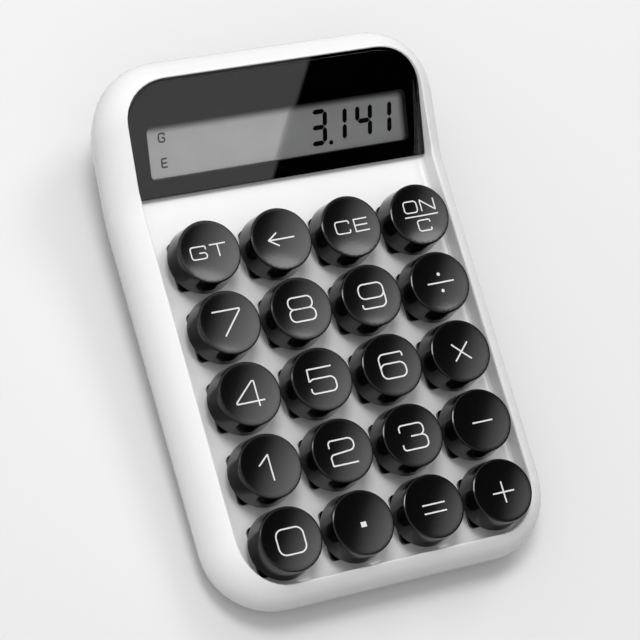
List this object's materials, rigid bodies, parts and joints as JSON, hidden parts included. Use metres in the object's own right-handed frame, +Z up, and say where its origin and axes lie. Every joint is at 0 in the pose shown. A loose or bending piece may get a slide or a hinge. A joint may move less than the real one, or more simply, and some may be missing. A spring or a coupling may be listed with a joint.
{
  "type": "desktop calculator",
  "caption": "Desktop calculator with a wedge-shaped gloss case, a rim around the key deck, round sprung keys on mechanical switches and a tilted liquid crystal display under smoked glass.",
  "frame": {"origin": "middle of the case seen from above, on the plane that the rubber feet stand on", "axes": "+X to the user's right, +Y from the user towards the display, +Z up"},
  "size_m": [0.1156, 0.1712, 0.0434],
  "materials": {
    "case_plastic": "gloss white",
    "window_glass": "gloss, smoked",
    "lcd_glass": "satin grey",
    "cap_plastic": "satin black",
    "housing_plastic": "matte black",
    "stem_plastic": "matte brown",
    "holder_plastic": "matte dark grey",
    "board_laminate": "satin green",
    "chip_resin": "matte black",
    "ribbon_film": "gloss amber",
    "zebra_rubber": "matte",
    "foot_rubber": "matte black",
    "spring_steel": "bright",
    "contact_brass": "bright",
    "screw_steel": "bright",
    "cell_case": "gloss"
  },
  "bodies": {
    "case": {"top_case": "case_plastic", "bottom_case": "case_plastic", "display_window": "window_glass", "lcd_panel": "lcd_glass", "lcd_holder": "holder_plastic", "zebra_strips": "zebra_rubber", "display_board": "board_laminate", "ribbon_cable": "ribbon_film", "main_board": "board_laminate", "controller_chip": "chip_resin", "switch_lower_housings": "housing_plastic", "switch_upper_housings": "housing_plastic", "switch_springs": "spring_steel", "switch_contacts": "contact_brass", "batteries": "cell_case", "battery_contacts": "spring_steel", "rubber_feet": "foot_rubber", "case_screws": "screw_steel", "board_screws": "screw_steel"},
    "door": {"battery_door": "case_plastic"},
    "key_grand_total": {"cap_grand_total": "cap_plastic", "stem_grand_total": "stem_plastic"},
    "key_backspace": {"cap_backspace": "cap_plastic", "stem_backspace": "stem_plastic"},
    "key_clear_entry": {"cap_clear_entry": "cap_plastic", "stem_clear_entry": "stem_plastic"},
    "key_on_clear": {"cap_on_clear": "cap_plastic", "stem_on_clear": "stem_plastic"},
    "key_seven": {"cap_seven": "cap_plastic", "stem_seven": "stem_plastic"},
    "key_eight": {"cap_eight": "cap_plastic", "stem_eight": "stem_plastic"},
    "key_nine": {"cap_nine": "cap_plastic", "stem_nine": "stem_plastic"},
    "key_divide": {"cap_divide": "cap_plastic", "stem_divide": "stem_plastic"},
    "key_four": {"cap_four": "cap_plastic", "stem_four": "stem_plastic"},
    "key_five": {"cap_five": "cap_plastic", "stem_five": "stem_plastic"},
    "key_six": {"cap_six": "cap_plastic", "stem_six": "stem_plastic"},
    "key_multiply": {"cap_multiply": "cap_plastic", "stem_multiply": "stem_plastic"},
    "key_one": {"cap_one": "cap_plastic", "stem_one": "stem_plastic"},
    "key_two": {"cap_two": "cap_plastic", "stem_two": "stem_plastic"},
    "key_three": {"cap_three": "cap_plastic", "stem_three": "stem_plastic"},
    "key_minus": {"cap_minus": "cap_plastic", "stem_minus": "stem_plastic"},
    "key_zero": {"cap_zero": "cap_plastic", "stem_zero": "stem_plastic"},
    "key_point": {"cap_point": "cap_plastic", "stem_point": "stem_plastic"},
    "key_equals": {"cap_equals": "cap_plastic", "stem_equals": "stem_plastic"},
    "key_plus": {"cap_plus": "cap_plastic", "stem_plus": "stem_plastic"}
  },
  "joints": [
    {"name": "door_lift_off", "type": "slide", "parent": "case", "child": "door", "axis": [0, 0, -1], "range_m": [0, 0.02]},
    {"name": "press_grand_total", "type": "slide", "parent": "case", "child": "key_grand_total", "axis": [0, 0.0785, -0.9969], "range_m": [0, 0.0035], "stiffness_N_per_m": 120, "springref_m": -0.003, "deforming": ["switch_springs"]},
    {"name": "press_backspace", "type": "slide", "parent": "case", "child": "key_backspace", "axis": [0, 0.0785, -0.9969], "range_m": [0, 0.0035], "stiffness_N_per_m": 120, "springref_m": -0.003, "deforming": ["switch_springs"]},
    {"name": "press_clear_entry", "type": "slide", "parent": "case", "child": "key_clear_entry", "axis": [0, 0.0785, -0.9969], "range_m": [0, 0.0035], "stiffness_N_per_m": 120, "springref_m": -0.003, "deforming": ["switch_springs"]},
    {"name": "press_on_clear", "type": "slide", "parent": "case", "child": "key_on_clear", "axis": [0, 0.0785, -0.9969], "range_m": [0, 0.0035], "stiffness_N_per_m": 120, "springref_m": -0.003, "deforming": ["switch_springs"]},
    {"name": "press_seven", "type": "slide", "parent": "case", "child": "key_seven", "axis": [0, 0.0785, -0.9969], "range_m": [0, 0.0035], "stiffness_N_per_m": 120, "springref_m": -0.003, "deforming": ["switch_springs"]},
    {"name": "press_eight", "type": "slide", "parent": "case", "child": "key_eight", "axis": [0, 0.0785, -0.9969], "range_m": [0, 0.0035], "stiffness_N_per_m": 120, "springref_m": -0.003, "deforming": ["switch_springs"]},
    {"name": "press_nine", "type": "slide", "parent": "case", "child": "key_nine", "axis": [0, 0.0785, -0.9969], "range_m": [0, 0.0035], "stiffness_N_per_m": 120, "springref_m": -0.003, "deforming": ["switch_springs"]},
    {"name": "press_divide", "type": "slide", "parent": "case", "child": "key_divide", "axis": [0, 0.0785, -0.9969], "range_m": [0, 0.0035], "stiffness_N_per_m": 120, "springref_m": -0.003, "deforming": ["switch_springs"]},
    {"name": "press_four", "type": "slide", "parent": "case", "child": "key_four", "axis": [0, 0.0785, -0.9969], "range_m": [0, 0.0035], "stiffness_N_per_m": 120, "springref_m": -0.003, "deforming": ["switch_springs"]},
    {"name": "press_five", "type": "slide", "parent": "case", "child": "key_five", "axis": [0, 0.0785, -0.9969], "range_m": [0, 0.0035], "stiffness_N_per_m": 120, "springref_m": -0.003, "deforming": ["switch_springs"]},
    {"name": "press_six", "type": "slide", "parent": "case", "child": "key_six", "axis": [0, 0.0785, -0.9969], "range_m": [0, 0.0035], "stiffness_N_per_m": 120, "springref_m": -0.003, "deforming": ["switch_springs"]},
    {"name": "press_multiply", "type": "slide", "parent": "case", "child": "key_multiply", "axis": [0, 0.0785, -0.9969], "range_m": [0, 0.0035], "stiffness_N_per_m": 120, "springref_m": -0.003, "deforming": ["switch_springs"]},
    {"name": "press_one", "type": "slide", "parent": "case", "child": "key_one", "axis": [0, 0.0785, -0.9969], "range_m": [0, 0.0035], "stiffness_N_per_m": 120, "springref_m": -0.003, "deforming": ["switch_springs"]},
    {"name": "press_two", "type": "slide", "parent": "case", "child": "key_two", "axis": [0, 0.0785, -0.9969], "range_m": [0, 0.0035], "stiffness_N_per_m": 120, "springref_m": -0.003, "deforming": ["switch_springs"]},
    {"name": "press_three", "type": "slide", "parent": "case", "child": "key_three", "axis": [0, 0.0785, -0.9969], "range_m": [0, 0.0035], "stiffness_N_per_m": 120, "springref_m": -0.003, "deforming": ["switch_springs"]},
    {"name": "press_minus", "type": "slide", "parent": "case", "child": "key_minus", "axis": [0, 0.0785, -0.9969], "range_m": [0, 0.0035], "stiffness_N_per_m": 120, "springref_m": -0.003, "deforming": ["switch_springs"]},
    {"name": "press_zero", "type": "slide", "parent": "case", "child": "key_zero", "axis": [0, 0.0785, -0.9969], "range_m": [0, 0.0035], "stiffness_N_per_m": 120, "springref_m": -0.003, "deforming": ["switch_springs"]},
    {"name": "press_point", "type": "slide", "parent": "case", "child": "key_point", "axis": [0, 0.0785, -0.9969], "range_m": [0, 0.0035], "stiffness_N_per_m": 120, "springref_m": -0.003, "deforming": ["switch_springs"]},
    {"name": "press_equals", "type": "slide", "parent": "case", "child": "key_equals", "axis": [0, 0.0785, -0.9969], "range_m": [0, 0.0035], "stiffness_N_per_m": 120, "springref_m": -0.003, "deforming": ["switch_springs"]},
    {"name": "press_plus", "type": "slide", "parent": "case", "child": "key_plus", "axis": [0, 0.0785, -0.9969], "range_m": [0, 0.0035], "stiffness_N_per_m": 120, "springref_m": -0.003, "deforming": ["switch_springs"]}
  ]
}
